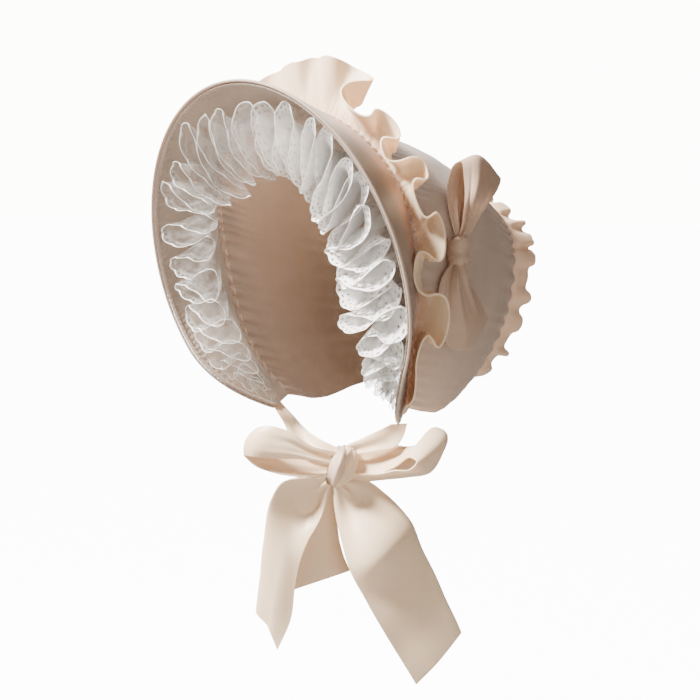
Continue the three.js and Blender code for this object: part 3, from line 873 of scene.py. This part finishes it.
def fromBow(line):
    across, near, up = np.asarray(line, float).T
    return xyz(
        across * math.cos(bowTurn) + near * math.sin(bowTurn),
        across * math.sin(bowTurn) - near * math.cos(bowTurn), up,
    )


# A smooth surface through two or more lines, at t along them and s across them.
def throughLines(lines, t, s):
    rows = np.array([curveAt(line, t) for line in lines])
    last = len(rows) - 1
    row = np.clip(s, 0, 1) * last
    i = np.clip(np.floor(row).astype(int), 0, last - 1)
    share = (row - i)[..., None]
    column = np.arange(len(i))
    a, b = rows[i, column], rows[i + 1, column]
    before = np.where((i > 0)[:, None], rows[np.maximum(i - 1, 0), column], 2 * a - b)
    after = np.where((i < last - 1)[:, None], rows[np.minimum(i + 2, last), column], 2 * b - a)
    bent = share * (1 - share) * ((1 - share) * (b - before) - share * (after - a)) / 2
    return mix(a, b, share * share * (3 - 2 * share)) + bent


# A ribbon through its lines. Its ruck lifts it in folds, towards the front of its first band.
def makeRibbon(name, node, lines, width, steps, ruck, cloth=ribbonSatin):
    lines = [fromBow(line) for line in lines.values()]

    def place(t, s):
        along = throughLines(lines, t + 0.004, s) - throughLines(lines, t - 0.004, s)
        over = throughLines(lines, t, np.minimum(s + 0.01, 1))
        over = over - throughLines(lines, t, np.maximum(s - 0.01, 0))
        away = facing * unit(np.cross(along, over))
        return throughLines(lines, t, s) + away * ruck(t, s)[..., None]

    corner, further, higher = (
        throughLines(lines, np.array([t]), np.array([s]))
        for t, s in ((0.25, 0.1), (0.3, 0.1), (0.25, 0.2))
    )
    lift = np.cross(further - corner, higher - corner)[0]
    facing = 1 if lift @ (math.sin(bowTurn), -math.cos(bowTurn), 0) > 0 else -1
    routes = [curveAt(line, np.linspace(0, 1, 60)) for line in lines]
    lengths = [np.linalg.norm(np.diff(route, axis=0), axis=1).sum() for route in routes]
    length = np.mean(lengths) * mm
    piece = makeSheet(name, steps, place, (length, width))
    thicken(piece, ribbonWall)
    finishPiece(piece, cloth, [node] if node else ())


loopPleats = dict(height=1.8, finer=0.6, reach=0.26, tipReach=0.1)


# How a bow's loop swells: out from its middle, up at its tip, and into pleats at the knot.
def loopRuck(belly, tip, pleats, phase=0.0):
    def ruck(t, s):
        middle = 4 * s * (1 - s)
        atKnot = np.minimum(t, 1 - t)
        turn = pleats * math.pi * s + phase
        folds = loopPleats["height"] * np.sin(turn)
        folds = folds + loopPleats["finer"] * np.sin(2.3 * turn + 1)
        folds = folds * np.exp(-((atKnot / loopPleats["reach"]) ** 2))
        folds = folds * np.minimum(1, 0.35 + 8 * atKnot)
        swell = tip * middle * np.exp(-(((t - 0.5) / loopPleats["tipReach"]) ** 2))
        return belly * middle * np.sin(math.pi * t) + swell + folds

    return ruck


# Each ribbon's lines, from one edge to the other, as points across, near and up.
chinLeftLoop = dict(
    near=[[-8, 27, -148], [10, 31, -148], [24, 33, -142], [36, 36, -134], [40, 40, -136],
          [35, 44, -141], [24, 42, -142], [14, 38, -145], [-8, 33, -146]],
    middle=[[-8, 18, -132], [13, 14, -132], [24, 12, -131], [33, 14, -132], [44, 14, -130],
            [55, 10, -119], [60, 12, -122], [57, 16, -134], [50, 18, -147], [34, 20, -150],
            [18, 22, -151], [-8, 28, -152]],
    far=[[-8, 14, -146], [13, 0, -154], [24, -5, -157], [33, -5, -157], [44, -2, -146],
         [54, 4, -124], [58, 8, -126], [55, 10, -137], [47, 10, -149], [34, 8, -152],
         [18, 10, -153], [-8, 20, -153]],
)
chinRightLoop = dict(
    top=[[-19, 34, -130], [-38, 38, -124], [-52, 40, -114], [-67, 38, -110], [-78, 30, -114],
         [-74, 22, -119], [-53, 18, -126], [-22, 22, -134]],
    low=[[-19, 33, -142], [-45, 38, -135], [-67, 39, -134], [-82, 36, -133], [-87, 29, -134],
         [-81, 30, -140], [-65, 34, -146], [-46, 35, -149], [-19, 30, -149]],
)
leftTie = dict(
    upper=[[22, 18, -112], [7, 22, -119], [-4, 24, -124], [-12, 26, -127]],
    lower=[[34, 10, -113], [31, 16, -122], [24, 24, -129], [12, 28, -131], [-9, 28, -134]],
)
rightTie = dict(
    outer=[[-68, -10, -103], [-59, 2, -115], [-53, 16, -126], [-43, 26, -136], [-25, 30, -137]],
    inner=[[-65, -18, -99], [-53, -8, -110], [-42, 6, -119], [-30, 20, -124], [-17, 26, -129]],
)
strap = dict(
    left=[[-18, 18, -129], [-21, 30, -131], [-24, 35, -139], [-26, 33, -148], [-24, 25, -157],
          [-20, 16, -161]],
    ridge=[[-13, 22, -128], [-14, 40, -131], [-16, 45, -138], [-18, 43, -146], [-19, 34, -155],
           [-18, 20, -161]],
    right=[[-7, 18, -129], [-6, 30, -130], [-10, 35, -137], [-13, 34, -146], [-16, 27, -155],
           [-18, 18, -160]],
)
leftTail = dict(
    near=[[-21, 30, -156], [-20, 34, -173], [-15, 39, -196], [-9, 43, -216], [4, 42, -242],
          [41, 31, -309]],
    middle=[[-15, 33, -155], [-7, 31, -163], [1, 35, -183], [10, 41, -207], [24, 37, -238],
            [58, 28, -292]],
    fold=[[-11, 30, -151], [3, 26, -153], [16, 22, -165], [30, 21, -182], [45, 22, -206],
          [59, 21, -235], [75, 18, -273]],
    far=[[-18, 24, -156], [-9, 18, -173], [0, 14, -200], [12, 13, -231], [49, 10, -304]],
)
rightTail = dict(
    near=[[-23, 30, -156], [-32, 31, -184], [-40, 33, -198], [-46, 34, -214], [-49, 34, -228],
          [-53, 34, -258], [-63, 36, -281]],
    middle=[[-26, 34, -153], [-42, 26, -168], [-52, 28, -184], [-58, 34, -203], [-62, 35, -222],
            [-66, 35, -242], [-70, 34, -264]],
    fold=[[-27, 31, -149], [-45, 36, -149], [-57, 36, -152], [-65, 33, -164], [-69, 30, -181],
          [-71, 28, -203], [-76, 26, -248]],
    far=[[-21, 24, -156], [-19, 20, -172], [-18, 16, -192], [-14, 14, -213], [-9, 13, -226]],
)
sideUpperLoop = dict(
    near=[[67, 78, 30], [69, 84, 44], [70, 88, 57], [69, 88, 69], [67, 84, 81], [63, 79, 79],
          [59, 75, 66], [60, 73, 50], [65, 74, 30]],
    middle=[[70, 79, 30], [74, 82, 44], [77, 89, 57], [80, 85, 70], [80, 76, 84], [78, 70, 80],
            [74, 67, 66], [71, 68, 49], [69, 72, 29]],
    far=[[74, 74, 30], [81, 74, 43], [88, 74, 54], [94, 69, 63], [96, 62, 70], [93, 57, 72],
         [88, 56, 63], [81, 60, 48], [72, 68, 29]],
)
sideLowerLoop = dict(
    near=[[62, 77, 12], [55, 82, 2], [52, 83, -14], [55, 80, -33], [61, 74, -47], [63, 70, -41],
          [62, 68, -23], [63, 71, -2], [66, 74, 12]],
    middle=[[66, 78, 12], [66, 82, 0], [68, 81, -16], [72, 75, -34], [75, 66, -48], [74, 61, -41],
            [71, 61, -23], [69, 66, -2], [68, 72, 12]],
    far=[[71, 74, 12], [74, 73, 0], [81, 68, -13], [86, 62, -23], [89, 56, -30], [86, 51, -29],
         [79, 53, -18], [73, 62, -3], [70, 68, 12]],
)
loopSteps, tieSteps, tailSteps, strapSteps = (120, 30), (70, 26), (130, 96), (60, 40)
makeRibbon("chin_left_bow", "chin_left_loop", chinLeftLoop, 0.032, loopSteps, loopRuck(1.5, 2, 5))
makeRibbon(
    "chin_right_bow", "chin_right_loop", chinRightLoop, 0.024, loopSteps, loopRuck(2.5, 1, 3, 1),
)
makeRibbon(
    "side_upper_bow", "side_upper_loop", sideUpperLoop, 0.030, loopSteps, loopRuck(1, 0, 6),
    shadedBowSatin,
)
makeRibbon(
    "side_lower_bow", "side_lower_loop", sideLowerLoop, 0.030, loopSteps, loopRuck(1.5, 0, 5, 1),
    shadedBowSatin,
)


def tieRuck(t, s):
    return 1.3 * np.sin(2.2 * math.pi * s + 0.5) * smooth(t * 1.5) + 0.4 * wander(t, 3, 1)


makeRibbon("left_tie_ribbon", "left_tie", leftTie, 0.020, tieSteps, tieRuck)
makeRibbon("right_tie_ribbon", "right_tie", rightTie, 0.020, tieSteps, tieRuck)


# A rounded swelling or, below zero, a hollow in a ribbon.
def swelling(t, s, height, at, size):
    return height * np.exp(-(((t - at[0]) / size[0]) ** 2) - ((s - at[1]) / size[1]) ** 2)


def tailPleats(t, s, count, depth=1.3, reach=0.10):
    return depth * np.sin(count * math.pi * s) * np.exp(-t / reach)


# The left tail swells under its hollow, and falls away faster below the swell than above it.
leftSwell = dict(height=9, t=0.37, s=0.38, slant=0.05, above=0.16, below=0.10, width=0.28)


def leftBuckle(t, s):
    hollow = swelling(t, s, -4, (0.13, 0.3), (0.07, 0.2))
    past = t - leftSwell["t"] - leftSwell["slant"] * (s - 0.3)
    past = past / np.where(past > 0, leftSwell["below"], leftSwell["above"])
    aside = (s - leftSwell["s"]) / leftSwell["width"]
    swell = leftSwell["height"] * np.exp(-(past ** 2) - aside ** 2)
    return tailPleats(t, s, 9) + hollow + swell + 0.7 * wander(t, 5, 1.5)


def rightBuckle(t, s):
    hollow = swelling(t, s, -5, (0.2, 0.2), (0.1, 0.14))
    return tailPleats(t, s, 8) + hollow + 0.7 * wander(t, 2, 1.5)


makeRibbon("left_tail_ribbon", "left_tail", leftTail, 0.080, tailSteps, leftBuckle)
makeRibbon("right_tail_ribbon", "right_tail", rightTail, 0.080, tailSteps, rightBuckle)


def strapRuck(t, s):
    return 0.7 * np.sin(5 * math.pi * s + 2 * t) * np.sin(math.pi * s)


makeRibbon("chin_strap", None, strap, 0.026, strapSteps, strapRuck, shadedKnotSatin)

coreRoll = dict(steps=(96, 48), uvSize=(0.06, 0.03), creases=7, twist=2.2, squareness=0.75)
chinCore = dict(at=[-14, 27, -143], size=[20, 22, 32], turn=25, crease=0.06)
sideCore = dict(at=[67, 75, 20], size=[11, 15, 20], turn=0, crease=0.05)


# The wound ribbon under a knot's strap: an oblong, creased lengthwise and drawn in at its ends.
def makeCore(name, node, look):
    centre = fromBow([look["at"]])[0]
    turn = math.radians(look["turn"])
    wide, deep, high = look["size"]

    def place(along, across):
        around = 2 * math.pi * along
        up = np.cos(math.pi * across)
        girth = np.sqrt(np.maximum(0, 1 - up * up)) ** coreRoll["squareness"]
        crease = np.sin(coreRoll["creases"] * around + coreRoll["twist"] * up)
        crease = 1 + look["crease"] * crease * girth
        x = wide / 2 * girth * np.sin(around) * crease
        near = deep / 2 * girth * np.cos(around) * crease
        z = high / 2 * up
        return centre + fromBow(np.stack([
            x * math.cos(turn) + z * math.sin(turn), near, z * math.cos(turn) - x * math.sin(turn),
        ]).T)

    piece = makeSheet(name, coreRoll["steps"], place, coreRoll["uvSize"])
    closeUp(piece)
    finishPiece(piece, ribbonSatin, [node])


makeCore("chin_core", "chin_knot", chinCore)
makeCore("side_core", "side_knot", sideCore)

sideBand = dict(halfTurn=115, size=[7.5, 10, 17], drift=0.8, crease=0.06, steps=(60, 24))
sideBandCloth = (0.036, 0.017)


# The strap round the side bow's middle.
def sideStrap(along, across):
    x, near, z = sideCore["at"]
    wide, deep, high = sideBand["size"]
    turn = np.radians(mix(-sideBand["halfTurn"], sideBand["halfTurn"], along))
    narrow = 1 + sideBand["crease"] * np.sin(3 * math.pi * across) * np.cos(turn)
    return fromBow(np.stack([
        x + wide * np.sin(turn) * narrow, near + deep * np.cos(turn) * narrow,
        z + high * (across - 0.5) + sideBand["drift"] * np.sin(2 * turn),
    ]).T)


sidePiece = makeSheet("side_strap", sideBand["steps"], sideStrap, sideBandCloth)
thicken(sidePiece, ribbonWall)
finishPiece(sidePiece, shadedBowSatin)
print("ribbons ready")

cameraLook = dict(azimuth=37, elevation=4, distance=1.020, lens=70, aim=(0.00875, -0.0573))


# The direction out from the object at an azimuth and elevation in degrees: 0, 0 is its front.
def outward(azimuth, elevation):
    a, e = math.radians(azimuth), math.radians(elevation)
    return np.array([math.sin(a) * math.cos(e), -math.cos(a) * math.cos(e), math.sin(e)])


def makeCamera(look):
    back = outward(look["azimuth"], look["elevation"])
    right = outward(look["azimuth"] + 90, 0)
    up = np.cross(back, right)
    aimRight, aimUp = look["aim"]
    data = bpy.data.cameras.new("camera")
    data.lens = look["lens"]
    camera = bpy.data.objects.new("camera", data)
    bpy.context.collection.objects.link(camera)
    camera.location = back * look["distance"]
    forward = Vector(-back - right * aimRight + up * aimUp)
    camera.rotation_euler = forward.to_track_quat("-Z", "Y").to_euler()
    bpy.context.scene.camera = camera


makeCamera(cameraLook)

floorLook = dict(drop=0.25, size=30, colour=(0.25, 0.235, 0.22), roughness=0.9)
studio = dict(backdrop=14.0, paper=13.0, fill=0.13, tint=(1.0, 0.955, 0.90))
deselectAll()
floorPlace = (0, 0, cadBox[0][2] - floorLook["drop"])
bpy.ops.mesh.primitive_plane_add(size=floorLook["size"], location=floorPlace)
floor = bpy.context.object
floor.name = "floor"


# The paper floor looks white to the camera, and is plain paper to the light.
def makePaper(look):
    paper = bpy.data.materials.new("paper")
    paper.use_nodes = True
    link = paper.node_tree.links.new
    shader = paper.node_tree.nodes["Principled BSDF"]
    shader.inputs["Base Color"].default_value = (*floorLook["colour"], 1)
    shader.inputs["Roughness"].default_value = floorLook["roughness"]
    shader.inputs["Emission Color"].default_value = (1, 1, 1, 1)
    path = addNode(paper, "ShaderNodeLightPath", (-500, 0))
    shine = addNode(paper, "ShaderNodeMath", (-250, 0), {1: look["paper"]}, operation="MULTIPLY")
    link(path.outputs["Is Camera Ray"], shine.inputs[0])
    link(shine.outputs[0], shader.inputs["Emission Strength"])
    return paper


def makeWorld(look):
    world = bpy.data.worlds.new("studio")
    bpy.context.scene.world = world
    world.use_nodes = True
    link = world.node_tree.links.new
    path = addNode(world, "ShaderNodeLightPath", (-700, 0))
    strength = addNode(world, "ShaderNodeMapRange", (-400, 0), {
        "To Min": look["fill"], "To Max": look["backdrop"],
    })
    backdrop = world.node_tree.nodes["Background"]
    backdrop.inputs["Color"].default_value = (*look["tint"], 1)
    link(path.outputs["Is Camera Ray"], strength.inputs["Value"])
    link(strength.outputs["Result"], backdrop.inputs["Strength"])


floor.data.materials.append(makePaper(studio))
makeWorld(studio)

lights = dict(
    key=dict(azimuth=-30, elevation=47, distance=2.0, size=0.5, power=300, colour=(1, 0.96, 0.89)),
    side=dict(azimuth=52, elevation=2, distance=2.0, size=0.9, power=15, colour=(1, 0.95, 0.88)),
    rim=dict(azimuth=190, elevation=45, distance=2.0, size=1.0, power=16, colour=(1, 0.95, 0.88)),
)


# A round area light that looks at the bonnet.
def makeLight(name, look):
    back = Vector(outward(look["azimuth"], look["elevation"]))
    data = bpy.data.lights.new(name, "AREA")
    data.shape = "DISK"
    data.size = look["size"]
    data.energy = look["power"]
    data.color = look["colour"]
    light = bpy.data.objects.new(name, data)
    bpy.context.collection.objects.link(light)
    light.location = back * look["distance"]
    light.rotation_euler = (-back).to_track_quat("-Z", "Y").to_euler()


for lightName, lightLook in lights.items():
    makeLight(lightName, lightLook)

print("scene ready")
